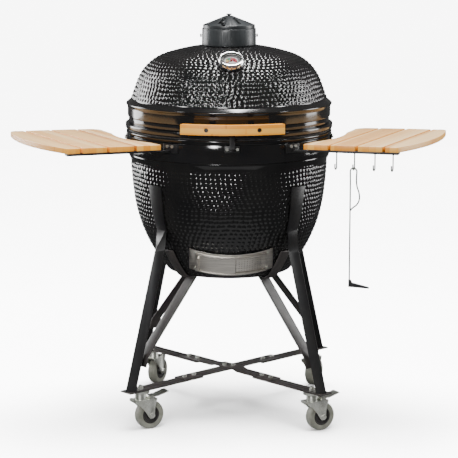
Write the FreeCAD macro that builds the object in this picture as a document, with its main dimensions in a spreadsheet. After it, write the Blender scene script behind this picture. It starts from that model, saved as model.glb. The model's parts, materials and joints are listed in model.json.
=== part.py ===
import FreeCAD, Part
import math
import os
import Sketcher
from FreeCAD import Placement, Rotation, Vector

# A large kamado grill: a ceramic pot and domed lid on a four-legged cart with castors.
# Millimetres, +Z up. The origin is on the floor under the pot's axis, and -Y is the front.
# The pot stands loose in its cradle, so the cart is turned a few degrees under it.

SIZES = {
    # domed lid
    "lid_bottom": 876.3, "lid_lip_radius": 312, "lid_lip_top": 892, "lid_groove_radius": 298,
    "lid_groove_top": 911, "lid_collar_radius": 305.5, "lid_collar_top": 941, "lid_bulge_radius": 311,
    "lid_bulge_top": 950, "lid_apex": 1126.1, "crown_radius": 633.2, "shoulder_radius": 134.7,
    "shoulder_centre_r": 150.3, "shoulder_centre_z": 968.2, "flank_foot_z": 962, "flank_lean": 19.7,
    "crown_half_angle": 17.55, "lid_wall": 24, "vent_hole_radius": 55,
    # pot
    "pot_top": 870, "pot_lip_radius": 309.5, "pot_lip_bottom": 858, "pot_groove_radius": 300,
    "pot_groove_bottom": 802, "pot_ridge_radius": 303.5, "pot_ridge_bottom": 797, "pot_bottom": 442, "pot_floor": 18,
    "pot_foot_radius": 176, "belly_radius": 440.8, "belly_centre_r": -149.9, "belly_centre_z": 731.2,
    "belly_top_angle": 8.1, "belly_foot_angle": 40.1, "waist_radius": 1068.6, "waist_top_angle": 2.0,
    "pot_wall": 26,
    # bands and felt
    "lid_band_inner": 298.4, "lid_band_outer": 302, "lid_band_bottom": 892.6, "lid_band_top": 910.4,
    "base_band_inner": 300.4, "base_band_outer": 307, "base_band_bottom": 802.6,
    "base_band_top": 857.4, "felt_inner": 287, "felt_outer": 303, "base_felt_bottom": 870.1,
    "felt_joint": 873.1, "lid_felt_bottom": 873.4, "lid_felt_top": 876.1,
    # chimney
    "collar_foot_radius": 81.6, "collar_top_radius": 80.8, "collar_bore": 58.5, "collar_top": 1172,
    "cap_radius": 78, "cap_bottom": 1172.5, "cap_rim_top": 1182, "cap_apex": 1210,
    "pivot_radius": 3, "pivot_hole": 3.06, "grate_disc_radius": 58, "grate_disc_bottom": 1162,
    # thermometer
    "bezel_radius": 37.5, "bezel_inner": 33.5, "bezel_front": 18, "dial_radius": 33,
    "probe_radius": 3, "probe_length": 95,
    # handle and latch
    "grip_inner": 350, "grip_outer": 372, "grip_bottom": 894, "grip_height": 29,
    "grip_half_length": 144.5, "strap_width": 15, "latch_pin_radius": 2,
    # lid hinge
    "hinge_y": 345, "hinge_z": 876, "hinge_pin_radius": 5, "hinge_hole_radius": 5.06,
    "hinge_pin_length": 150,
    # side tables
    "table_top": 862, "slat_thickness": 16, "arm_thickness": 6, "fold_distance": 335,
    "fold_z": 838, "fold_pin_radius": 3, "fold_hole_radius": 3.06, "knuckle_radius": 6,
    # cart
    "leg_size": 30, "leg_wall": 2, "foot_spread": 280, "leg_foot_z": 124, "bend_spread": 190,
    "bend_z": 565, "tube_top_z": 530, "leg_strap_thickness": 5,
    "brace_width": 38, "brace_thickness": 5, "cross_width": 46, "cross_thickness": 4,
    "cart_turn": -3.6,
    # castors
    "wheel_radius": 43, "tyre_width": 28, "hub_radius": 27, "axle_radius": 4,
    "axle_hole": 4.06, "castor_trail": 28, "castor_spread": 254, "stem_radius": 6,
    "stem_hole": 6.06,
}

X_AXIS, Y_AXIS, Z_AXIS = Vector(1, 0, 0), Vector(0, 1, 0), Vector(0, 0, 1)
ORIGIN = Vector(0, 0, 0)
GAP = 0.4

doc = FreeCAD.newDocument("kamado_grill")
sheet = doc.addObject("Spreadsheet::Sheet", "sizes")
for row, (alias, number) in enumerate(SIZES.items(), start=1):
    sheet.set("A%d" % row, alias)
    sheet.set("B%d" % row, str(number))
    sheet.setAlias("B%d" % row, alias)
doc.recompute()


def value(size):
    """A size is a number, or the name of a cell of the sheet."""
    return float(sheet.get(size)) if isinstance(size, str) else float(size)


def bind(item, prop, size):
    """Sets a property, through an expression when the size is a cell."""
    setattr(item, prop, value(size))
    if isinstance(size, str):
        item.setExpression(prop, "sizes." + size)


def polar(radius, degrees_from_front, z=0.0):
    """A point at an angle from the front (-Y), turning towards +X."""
    angle = math.radians(degrees_from_front)
    return Vector(radius * math.sin(angle), -radius * math.cos(angle), z)


def frame(x_direction, y_direction, at=ORIGIN):
    """A placement whose own X and Y run along two perpendicular directions."""
    return Placement(at, Rotation(x_direction, y_direction, x_direction.cross(y_direction), "XYZ"))


# ---------------------------------------------------------------- ways to make a piece

def profile(body, plane_role, corners, bends):
    """A closed, fully held sketch; bends gives a point on the arc of each curved side."""
    plane = next(item for item in body.Origin.OriginFeatures if item.Role == plane_role)
    sketch = body.newObject("Sketcher::SketchObject", body.Name + "_profile")
    sketch.AttachmentSupport = [(plane, "")]
    sketch.MapMode = "FlatFace"
    points = [Vector(value(x), value(y), 0) for x, y in corners]
    ends, rules = [], []
    for side, start in enumerate(points):
        stop = points[(side + 1) % len(points)]
        if side in bends:
            middle = Vector(bends[side][0], bends[side][1], 0)
            left_turn = (middle - start).cross(stop - middle).z > 0
            arc = Part.Arc(start, middle, stop) if left_turn else Part.Arc(stop, middle, start)
            sketch.addGeometry(arc, False)
            ends.append((1, 2) if left_turn else (2, 1))
            rules.append(Sketcher.Constraint("Radius", side, sketch.Geometry[side].Radius))
        else:
            sketch.addGeometry(Part.LineSegment(start, stop), False)
            ends.append((1, 2))
    for side in range(len(points)):
        following = (side + 1) % len(points)
        rules.append(Sketcher.Constraint("Coincident", side, ends[side][1],
                                         following, ends[following][0]))
    first_size = len(rules)
    for side, (x, y) in enumerate(corners):
        rules.append(Sketcher.Constraint("DistanceX", -1, 1, side, ends[side][0], value(x)))
        rules.append(Sketcher.Constraint("DistanceY", -1, 1, side, ends[side][0], value(y)))
    sketch.addConstraint(rules)
    for number, size in enumerate(part for corner in corners for part in corner):
        if isinstance(size, str):
            sketch.setExpression("Constraints[%d]" % (first_size + number), "sizes." + size)
    return sketch


def turned(label, corners, bends=None, at=None):
    """A body of revolution about Z from (radius, height) corners."""
    body = doc.addObject("PartDesign::Body", label)
    sketch = profile(body, "XZ_Plane", corners, bends or {})
    turn = body.newObject("PartDesign::Revolution", label + "_turn")
    turn.Profile = sketch
    turn.ReferenceAxis = (sketch, ["V_Axis"])
    turn.Angle = 360
    body.Tip = turn
    body.Placement = at or Placement()
    return body


def plate(label, corners, thickness, at=None, bends=None):
    """A flat piece: an outline in its own XY plane, padded along its own Z."""
    body = doc.addObject("PartDesign::Body", label)
    sketch = profile(body, "XY_Plane", corners, bends or {})
    pad = body.newObject("PartDesign::Pad", label + "_pad")
    pad.Profile = sketch
    bind(pad, "Length", thickness)
    body.Tip = pad
    body.Placement = at or Placement()
    return body


def rod(label, radius, length, at, axis=Z_AXIS):
    item = doc.addObject("Part::Cylinder", label)
    bind(item, "Radius", radius)
    bind(item, "Height", length)
    item.Placement = Placement(at, Rotation(Z_AXIS, axis))
    return item


def block(label, low, high, at=None):
    """A box between two corners of its own frame."""
    item = doc.addObject("Part::Box", label)
    for prop, start, stop in zip(("Length", "Width", "Height"), low, high):
        setattr(item, prop, stop - start)
    item.Placement = (at or Placement()).multiply(Placement(Vector(*low), Rotation()))
    return item


def cut(label, base, tools):
    item = doc.addObject("Part::Cut", label)
    item.Base = base
    item.Tool = tools[0] if len(tools) == 1 else group(label + "_tools", tools)
    return item


def fuse(label, members):
    item = doc.addObject("Part::MultiFuse", label)
    item.Shapes = members
    item.Refine = True
    return item


def group(label, members):
    """Separate solids that share one node."""
    item = doc.addObject("Part::Compound", label)
    item.Links = members
    return item


def sector(label, inner, outer, start_angle, stop_angle, bottom, height, at=None):
    """Part of a ring between two angles from the front."""
    middle = (start_angle + stop_angle) / 2
    corners, bends = [], {}
    for radius, angle in ((inner, start_angle), (outer, start_angle),
                          (outer, stop_angle), (inner, stop_angle)):
        point = polar(value(radius), angle)
        corners.append((point.x, point.y))
    bends[1] = tuple(polar(value(outer), middle))[:2]
    bends[3] = tuple(polar(value(inner), middle))[:2]
    lift = Placement(Vector(0, 0, value(bottom)), Rotation())
    return plate(label, corners, height, (at or Placement()).multiply(lift), bends)


def strip(points, thickness):
    """The outline of a flat bar that is bent along a line of points."""
    left, right = [], []
    last = len(points) - 1
    for number, (x, y) in enumerate(points):
        before = Vector(*points[max(number - 1, 0)], 0)
        after = Vector(*points[min(number + 1, last)], 0)
        here = Vector(x, y, 0)
        into = (here - before).normalize() if number > 0 else (after - here).normalize()
        out = (after - here).normalize() if number < last else into
        across = Vector(-into.y - out.y, into.x + out.x, 0).normalize()
        reach = thickness / 2 / across.dot(Vector(-into.y, into.x, 0))
        left.append((x + across.x * reach, y + across.y * reach))
        right.append((x - across.x * reach, y - across.y * reach))
    return left + right[::-1]


def bent_wire(label, points, bend, radius):
    """A round wire of straight runs joined by arcs of one bend radius."""
    edges, start = [], points[0]
    for before, corner, after in zip(points, points[1:], points[2:]):
        into, out = (corner - before).normalize(), (after - corner).normalize()
        half_turn = into.getAngle(out) / 2
        setback = bend * math.tan(half_turn)
        first, second = corner - into * setback, corner + out * setback
        bulge = (out - into).normalize() * (bend / math.cos(half_turn) - bend)
        edges.append(Part.LineSegment(start, first).toShape())
        edges.append(Part.Arc(first, corner + bulge, second).toShape())
        start = second
    edges.append(Part.LineSegment(start, points[-1]).toShape())
    section = Part.Wire(Part.Circle(points[0], points[1] - points[0], radius).toShape())
    item = doc.addObject("Part::Feature", label)
    item.Shape = Part.Wire(edges).makePipeShell([section], True, False)
    return item


# ---------------------------------------------------------------- the lid

def lid_profile():
    """Outer and inner curves of the lid: a leaning flank, a tight shoulder and a wide crown."""
    lean = math.radians(value("flank_lean"))
    shoulder = (value("shoulder_centre_r"), value("shoulder_centre_z"))
    crown_z = value("lid_apex") - value("crown_radius")
    hole, wall = value("vent_hole_radius"), value("lid_wall")

    def on_shoulder(angle, inset):
        radius = value("shoulder_radius") - inset
        return (shoulder[0] + radius * math.cos(angle), shoulder[1] + radius * math.sin(angle))

    def on_crown(radius_out, inset):
        return (radius_out, crown_z + math.sqrt((value("crown_radius") - inset) ** 2 - radius_out ** 2))

    top = math.radians(90 - value("crown_half_angle"))
    curves = []
    for inset in (0, wall):
        low, mid, high = (on_shoulder(angle, inset) for angle in (lean, (lean + top) / 2, top))
        curves.append((low, mid, high, on_crown((high[0] + hole) / 2, inset), on_crown(hole, inset)))
    outer, inner = curves
    foot_r = outer[0][0] + (outer[0][1] - value("flank_foot_z")) * math.tan(lean)
    corners = [("felt_inner", "lid_bottom"), ("lid_lip_radius", "lid_bottom"),
               ("lid_lip_radius", "lid_lip_top"), ("lid_groove_radius", "lid_lip_top"),
               ("lid_groove_radius", "lid_groove_top"), ("lid_collar_radius", "lid_groove_top"),
               ("lid_collar_radius", "lid_collar_top"), ("lid_bulge_radius", "lid_bulge_top"),
               (foot_r, "flank_foot_z"), outer[0], outer[2], outer[4],
               inner[4], inner[2], inner[0], (foot_r - wall, "lid_bulge_top")]
    bends = {9: outer[1], 10: outer[3], 12: inner[3], 13: inner[1]}
    return corners, bends


def thermometer_place(lift=0.0):
    """On the front of the shoulder, facing up and forwards."""
    angle = math.radians(60)
    normal = Vector(0, -math.cos(angle), math.sin(angle))
    radius = value("shoulder_radius") + lift
    centre = Vector(0, -value("shoulder_centre_r"), value("shoulder_centre_z"))
    return Placement(centre + normal * radius, Rotation(X_AXIS, 90 - 60))


lid_corners, lid_bends = lid_profile()
dome_shell = turned("dome_shell", lid_corners, lid_bends)
probe_hole = rod("probe_hole", 5, 90, thermometer_place(-60).Base,
                 thermometer_place().Rotation.multVec(Z_AXIS))
dome_lid = cut("dome_lid", dome_shell, [probe_hole])


def pot_curves(inset):
    """Belly and waist arcs of the pot's side, from the foot up to the ridge."""
    belly = (value("belly_centre_r"), value("belly_centre_z"))
    top = math.radians(value("belly_top_angle"))
    shift = value("waist_radius") - value("belly_radius")
    waist = (belly[0] - shift * math.cos(top), belly[1] + shift * math.sin(top))

    def point(centre, radius, degrees):
        angle = math.radians(degrees)
        return (centre[0] + (radius - inset) * math.cos(angle),
                centre[1] - (radius - inset) * math.sin(angle))

    belly_low, belly_high = value("belly_foot_angle"), value("belly_top_angle")
    waist_high = value("waist_top_angle")
    return (point(belly, value("belly_radius"), belly_low),
            point(belly, value("belly_radius"), (belly_low + belly_high) / 2),
            point(belly, value("belly_radius"), belly_high),
            point(waist, value("waist_radius"), (belly_high + waist_high) / 2),
            point(waist, value("waist_radius"), waist_high))


outer_curve, inner_curve = pot_curves(0), pot_curves(value("pot_wall"))
pot_floor_top = value("pot_bottom") + value("pot_floor")
pot_corners = [(0, "pot_bottom"), ("pot_foot_radius", "pot_bottom"), outer_curve[0], outer_curve[2],
               outer_curve[4], ("pot_ridge_radius", "pot_ridge_bottom"),
               ("pot_ridge_radius", "pot_groove_bottom"), ("pot_groove_radius", "pot_groove_bottom"),
               ("pot_groove_radius", "pot_lip_bottom"), ("pot_lip_radius", "pot_lip_bottom"),
               ("pot_lip_radius", "pot_top"), ("felt_inner", "pot_top"), inner_curve[4],
               inner_curve[2], inner_curve[0], (inner_curve[0][0] - 6, pot_floor_top),
               (0, pot_floor_top)]
pot_bends = {2: outer_curve[1], 3: outer_curve[3], 12: inner_curve[3], 13: inner_curve[1]}
pot_shell = turned("pot_shell", pot_corners, pot_bends)

# The ash door follows a cylinder about an axis that leans back from the pot's own axis.
DOOR_LEAN = 34
door_place = Placement(Vector(0, 0, 639.1), Rotation(X_AXIS, DOOR_LEAN))
draft_cut = block("draft_cut", (-98, -330, -22), (98, -215, 30), door_place)
base_pot = cut("base_pot", pot_shell, [draft_cut])

lid_gasket = turned("lid_gasket", [("felt_inner", "lid_felt_bottom"), ("felt_outer", "lid_felt_bottom"),
                                   ("felt_outer", "lid_felt_top"), ("felt_inner", "lid_felt_top")])
base_gasket = turned("base_gasket", [("felt_inner", "base_felt_bottom"),
                                     ("felt_outer", "base_felt_bottom"),
                                     ("felt_outer", "felt_joint"), ("felt_inner", "felt_joint")])

# ---------------------------------------------------------------- bands and latch

LATCH_PIN = Vector(0, -317.5, 899)
latch_ears = [block("latch_ear_%s" % side, (x, -323, 893), (x + 2.5, -301, 905))
              for side, x in (("left", -10.8), ("right", 8.3))]
latch_pin = rod("latch_pin", "latch_pin_radius", 21.6, LATCH_PIN - X_AXIS * 10.8, X_AXIS)
lid_ring = turned("lid_ring", [("lid_band_inner", "lid_band_bottom"), ("lid_band_outer", "lid_band_bottom"),
                               ("lid_band_outer", "lid_band_top"), ("lid_band_inner", "lid_band_top")])
lid_band = fuse("lid_band", [lid_ring] + latch_ears + [latch_pin])
base_band = turned("base_band", [("base_band_inner", "base_band_bottom"),
                                 ("base_band_outer", "base_band_bottom"),
                                 ("base_band_outer", "base_band_top"),
                                 ("base_band_inner", "base_band_top")])

latch_blade = block("latch_blade", (-7.5, -320, 846), (7.5, -317.5, 899))
latch_eye = rod("latch_eye", 4.5, "strap_width", LATCH_PIN - X_AXIS * 7.5, X_AXIS)
latch_lip = block("latch_lip", (-7.5, -328, 846), (7.5, -317.5, 848.5))
latch_bore = rod("latch_bore", 2.06, 30, LATCH_PIN - X_AXIS * 15, X_AXIS)
latch_strap = cut("latch_strap", fuse("latch_body", [latch_blade, latch_eye, latch_lip]), [latch_bore])

catch_plate = block("catch_plate", (-22, -312.6, 836), (22, -307.6, 857))
latch_catch = fuse("latch_catch", [catch_plate, block("catch_lug", (-6, -315.8, 838), (6, -312, 845))])

# ---------------------------------------------------------------- handle

HANDLE_ANGLE = 11.75
SCREW_Z = 908.5
grip_angle = math.degrees(math.asin(value("grip_half_length") / 361))
grip_bar = sector("grip_bar", "grip_inner", "grip_outer", -grip_angle, grip_angle,
                  "grip_bottom", "grip_height")
grip_bores, bracket_solids, handle_screw_solids = [], [], []
for side, sign in (("left", -1), ("right", 1)):
    turn = Placement(ORIGIN, Rotation(Z_AXIS, sign * HANDLE_ANGLE))
    outward = polar(1, sign * HANDLE_ANGLE)
    start = polar(345, sign * HANDLE_ANGLE, SCREW_Z)
    grip_bores.append(rod("grip_bore_" + side, 3.06, 40, start, outward))
    sink = polar(367.6, sign * HANDLE_ANGLE, SCREW_Z)
    grip_bores.append(rod("grip_sink_" + side, 6.4, 10, sink, outward))
    foot = block("handle_foot_" + side, (-11, -306.5, 893), (11, -302.5, 910), turn)
    arm = block("handle_arm_" + side, (-11, -349.2, 897), (11, -303, 902), turn)
    face = block("handle_face_" + side, (-11, -349.2, 897), (11, -345.2, 919), turn)
    bracket_bore = rod("bracket_bore_" + side, 3.06, 20, polar(336, sign * HANDLE_ANGLE, SCREW_Z), outward)
    bracket_solids.append(cut("handle_bracket_" + side,
                              fuse("handle_arm_body_" + side, [foot, arm, face]), [bracket_bore]))
    shank = rod("handle_shank_" + side, 3, 28, polar(341, sign * HANDLE_ANGLE, SCREW_Z), outward)
    head = rod("handle_head_" + side, 6, 3, polar(368, sign * HANDLE_ANGLE, SCREW_Z), outward)
    handle_screw_solids.append(fuse("handle_screw_" + side, [shank, head]))
handle_grip = cut("handle_grip", grip_bar, grip_bores)
handle_brackets = group("handle_brackets", bracket_solids)

# ---------------------------------------------------------------- chimney

crown_centre_z = value("lid_apex") - value("crown_radius")
collar_foot = [crown_centre_z + math.sqrt(value("crown_radius") ** 2 - value(r) ** 2) + 0.8
               for r in ("collar_bore", "collar_foot_radius")]
vent_collar = turned("vent_collar", [("collar_bore", collar_foot[0]), ("collar_foot_radius", collar_foot[1]),
                                     ("collar_top_radius", "collar_top"), ("collar_bore", "collar_top")])

VENT_SLOTS = 6
grate_disc = rod("grate_disc", "grate_disc_radius", 4, Vector(0, 0, value("grate_disc_bottom")))
grate_holes = [rod("grate_bore", "pivot_hole", 20, Vector(0, 0, 1155))]
roof = turned("cap_roof", [("pivot_hole", 1205.8), (60, 1183.5), (73.8, 1177.5), (73.8, "cap_bottom"),
                           ("cap_radius", "cap_bottom"), ("cap_radius", "cap_rim_top"),
                           (12, 1208.2), ("pivot_hole", "cap_apex")])
roof_slots = []
for number in range(VENT_SLOTS):
    angle = 360 / VENT_SLOTS * (number + 0.5)
    hole_at = polar(36, angle, 1155)
    grate_holes.append(rod("grate_hole_%d" % (number + 1), 13, 20, hole_at))
    turn = Placement(ORIGIN, Rotation(Z_AXIS, angle))
    roof_slots.append(block("roof_slot_%d" % (number + 1), (-5, -62, 1170), (5, -24, 1215), turn))
vent_grate = cut("vent_grate", grate_disc, grate_holes)

lever_outline = strip([(40, 1197.4), (74, 1184.2), (86, 1186), (91, 1196)], 2.5)
lever_azimuth = -14
lever_place = frame(polar(1, lever_azimuth), Z_AXIS, Vector(0, 0, 0))
lever = plate("cap_lever", lever_outline, 9,
              lever_place.multiply(Placement(Vector(0, 0, -4.5), Rotation())))
vent_cap = fuse("vent_cap", [cut("cap_body", roof, roof_slots), lever])
pivot_shaft = rod("pivot_shaft", "pivot_radius", 60, Vector(0, 0, 1154.5))
pivot_nut = rod("pivot_nut", 7, 5, Vector(0, 0, 1156.6))
pivot_head = rod("pivot_head", 8, 4, Vector(0, 0, 1210.5))
vent_pivot = fuse("vent_pivot", [pivot_shaft, pivot_nut, pivot_head])

vent_bolt_solids = [rod("vent_bolt_" + side, 5, 5, Vector(sign * 81.9, 0, 1150), X_AXIS * sign)
                    for side, sign in (("left", -1), ("right", 1))]
lid_screws = group("lid_screws", handle_screw_solids + vent_bolt_solids)

# ---------------------------------------------------------------- thermometer

dial_place = thermometer_place()
probe_bore = rod("probe_bore", 3.4, 30, ORIGIN)
thermometer_bezel = turned("thermometer_bezel", [("bezel_inner", -0.6), ("bezel_radius", -0.6),
                                                 ("bezel_radius", 14), (35, "bezel_front"),
                                                 (31.5, "bezel_front"), (31.5, 16.4),
                                                 ("bezel_inner", 16.4)], None, dial_place)
case_disc = rod("case_disc", 33.2, 5, dial_place.multVec(Vector(0, 0, 1.2)),
                dial_place.Rotation.multVec(Z_AXIS))
case_probe = rod("case_probe", "probe_radius", "probe_length",
                 dial_place.multVec(Vector(0, 0, 1.5)), dial_place.Rotation.multVec(-Z_AXIS))
thermometer_case = fuse("thermometer_case", [case_disc, case_probe])
thermometer_dial = turned("thermometer_dial", [(1.1, 6.5), ("dial_radius", 6.5), ("dial_radius", 8),
                                               (1.1, 8)], None, dial_place)
needle_hub = rod("needle_hub", 3, 1.6, Vector(0, 0, 8.6))
needle_spindle = rod("needle_spindle", 1, 3.3, Vector(0, 0, 6.7))
needle_blade = block("needle_blade", (-0.9, -8, 9), (0.9, 26, 9.8))
NEEDLE_REST = 128
thermometer_needle = fuse("thermometer_needle", [needle_hub, needle_spindle, needle_blade])
thermometer_needle.Placement = dial_place.multiply(Placement(ORIGIN, Rotation(Z_AXIS, NEEDLE_REST)))
thermometer_lens = turned("thermometer_lens", [(0, 14), (33.2, 14), (33.2, 16), (0, 16)],
                          None, dial_place)

# ---------------------------------------------------------------- lid hinge

HINGE = Vector(0, value("hinge_y"), value("hinge_z"))
across = frame(Y_AXIS, Z_AXIS)


def hinge_ear(label, outline, x, thickness):
    """A plate across X, from a (y, z) outline."""
    return plate(label, outline, thickness, across.multiply(Placement(Vector(0, 0, x), Rotation())))


lid_ear = [(307, 893.5), (307, 909.5), (330, 909.5), (357, 884), (357, 866), (334, 866), (314.5, 886),
           (314.5, 893.5)]
base_ear = [(312, 808), (312, 852), (315, 852), (334, 888), (355, 888), (357, 868), (330, 815)]
lid_ears = [hinge_ear("lid_ear_%d" % number, lid_ear, x, 6) for number, x in enumerate((-52, 46), 1)]
base_ears = [hinge_ear("base_ear_%d" % number, base_ear, x, 6) for number, x in enumerate((-66, 60), 1)]
lid_leaf = block("lid_leaf", (-52, 302.5, 893.5), (52, 308, 909.5))
base_leaf = block("base_leaf", (-66, 307.5, 808), (66, 313, 852))
hinge_bore = rod("hinge_bore", "hinge_hole_radius", 160, HINGE - X_AXIS * 80, X_AXIS)
hinge_lid_bracket = cut("hinge_lid_bracket", fuse("lid_leaf_body", lid_ears + [lid_leaf]), [hinge_bore])
hinge_base_bracket = cut("hinge_base_bracket", fuse("base_leaf_body", base_ears + [base_leaf]),
                         [hinge_bore])
hinge_rod = rod("hinge_rod", "hinge_pin_radius", "hinge_pin_length", HINGE - X_AXIS * 75, X_AXIS)
hinge_ends = [rod("hinge_end_%d" % number, 8, 4, HINGE + X_AXIS * x, X_AXIS)
              for number, x in enumerate((-75, 71), 1)]
hinge_pin = fuse("hinge_pin", [hinge_rod] + hinge_ends)


def coil_spring(label, start_x, length, turns):
    """A torsion spring of round wire around the hinge pin."""
    wire = Part.makeHelix(length / turns, length, 8.5)
    section = Part.Wire(Part.Circle(Vector(8.5, 0, 0), Y_AXIS, 1.75).toShape())
    item = doc.addObject("Part::Feature", label)
    item.Shape = Part.Wire(wire).makePipeShell([section], True, True)
    item.Placement = Placement(HINGE + X_AXIS * start_x, Rotation(Z_AXIS, X_AXIS))
    return item


hinge_springs = group("hinge_springs", [coil_spring("hinge_spring_1", -43, 38, 9),
                                        coil_spring("hinge_spring_2", 5, 38, 9)])

# ---------------------------------------------------------------- ash door

DOOR_RADIUS = 266.5
door_sheet = sector("door_sheet", DOOR_RADIUS, DOOR_RADIUS + 2, -27.3, 27.3, -38, 83, door_place)
door_window = block("door_window", (-95, -310, -26), (95, -230, 33), door_place)
door_rails = [sector("door_rail_%s" % name, DOOR_RADIUS + 2, DOOR_RADIUS + 10, -22.4, 22.4, bottom, 4,
                     door_place) for name, bottom in (("low", -31), ("high", 34.4))]
ash_door_frame = fuse("ash_door_frame", [cut("door_surround", door_sheet, [door_window])] + door_rails)
panel_sheet = sector("panel_sheet", DOOR_RADIUS + 5.8, DOOR_RADIUS + 7.8, -21.4, 2.6, -26.4, 59.8,
                     door_place)
panel_grip = sector("panel_grip", DOOR_RADIUS + 7.2, DOOR_RADIUS + 19.4, -21, -20.2, -20, 46, door_place)
ash_door_panel = fuse("ash_door_panel", [panel_sheet, panel_grip])
screen_sheet = sector("screen_sheet", DOOR_RADIUS + 2.6, DOOR_RADIUS + 4.2, 3, 21.4, -26.4, 59.8,
                      door_place)
screen_holes = []
for column in range(9):
    for line in range(6):
        turn = Placement(ORIGIN, Rotation(Z_AXIS, 4.9 + 1.7 * column))
        level = -19 + 8.8 * line
        screen_holes.append(block("screen_hole_%d_%d" % (column, line), (-1.2, -280, level),
                                  (1.2, -260, level + 2.4), door_place.multiply(turn)))
screen_fold = sector("screen_fold", DOOR_RADIUS + 3.4, DOOR_RADIUS + 5.3, 20.6, 21.4, -26.4, 59.8,
                     door_place)
ash_door_screen = fuse("ash_door_screen", [cut("screen_mesh", screen_sheet, screen_holes), screen_fold])

# ---------------------------------------------------------------- inside the pot

# The fire box is a floor and six wall segments with gaps for expansion.
fire_floor = turned("fire_floor", [(60, 464.5), (150, 464.5), (166.4, 488), (60, 488)])
fire_shell = turned("fire_shell", [(140, 488.4), (167, 488.4), (222, 600), (240, 680),
                                   (216, 680), (198, 604), (160, 526), (146, 526)])
fire_gate = block("fire_gate", (-70, -220, 480), (70, -100, 522))
fire_gaps = [block("fire_gap_%d" % number, (-0.4, 100, 480), (0.4, 260, 690),
                   Placement(ORIGIN, Rotation(Z_AXIS, 60 * number - 30))) for number in range(6)]
fire_box = group("fire_box", [fire_floor, cut("fire_wall", fire_shell, [fire_gate] + fire_gaps)])
fire_ring = turned("fire_ring", [(216, 680.4), (240, 680.4), (252, 700), (258, 758), (234, 758), (228, 704)])

coal_disc = rod("coal_disc", 156, 8, Vector(0, 0, 526.4))
coal_slots = [block("coal_slot_%d" % (number + 1), (-math.sqrt(140 ** 2 - y ** 2), y - 6, 520),
                    (math.sqrt(140 ** 2 - y ** 2), y + 6, 540))
              for number, y in enumerate(range(-120, 121, 24))]
charcoal_grate = cut("charcoal_grate", coal_disc, coal_slots)

GRATE_Z = 763
grate_rim = doc.addObject("Part::Torus", "grate_rim")
grate_rim.Radius1 = 246
grate_rim.Radius2 = 4
grate_rim.Placement = Placement(Vector(0, 0, GRATE_Z), Rotation())
grate_bars = []
for number, y in enumerate(range(-210, 211, 28)):
    half = math.sqrt(246 ** 2 - y ** 2)
    grate_bars.append(rod("grate_bar_%d" % (number + 1), 3, 2 * half, Vector(-half, y, GRATE_Z), X_AXIS))
cooking_grate = fuse("cooking_grate", [grate_rim] + grate_bars)

# ---------------------------------------------------------------- cart

cart_place = Placement(ORIGIN, Rotation(Z_AXIS, value("cart_turn")))
CORNERS = {"front_left": (-1, -1), "front_right": (1, -1), "back_left": (-1, 1), "back_right": (1, 1)}
leg_slope = (value("foot_spread") - value("bend_spread")) / (value("bend_z") - value("leg_foot_z"))


def leg_spread(z):
    """Distance of a leg's centre from the cart's middle planes at a height."""
    return value("foot_spread") - leg_slope * (z - value("leg_foot_z"))


def tube(label, sign_x, sign_y, inset, top):
    """A square tube, or its hollow, that leans inwards as it rises."""
    item = doc.addObject("Part::Wedge", label)
    half = value("leg_size") / 2 - inset
    low, high = leg_spread(value("leg_foot_z")), leg_spread(top)
    item.Xmin, item.Xmax = sign_x * low - half, sign_x * low + half
    item.Zmin, item.Zmax = -sign_y * low - half, -sign_y * low + half
    item.X2min, item.X2max = sign_x * high - half, sign_x * high + half
    item.Z2min, item.Z2max = -sign_y * high - half, -sign_y * high + half
    item.Ymin, item.Ymax = value("leg_foot_z"), top
    item.Placement = cart_place.multiply(frame(X_AXIS, Z_AXIS))
    return item


def belly_point(z, offset):
    """A point that stands off the belly by an offset, as (radius, height)."""
    angle = math.asin((value("belly_centre_z") - z) / value("belly_radius"))
    reach = value("belly_radius") + offset
    return (value("belly_centre_r") + reach * math.cos(angle),
            value("belly_centre_z") - reach * math.sin(angle))


def radial_plane(sign_x, sign_y, width):
    """A placement whose X runs outwards to a leg and whose Y runs up, centred on a width."""
    outward = Vector(sign_x, sign_y, 0).normalize()
    plane = frame(outward, Z_AXIS)
    return cart_place.multiply(plane).multiply(Placement(Vector(0, 0, -width / 2), Rotation()))


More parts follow.
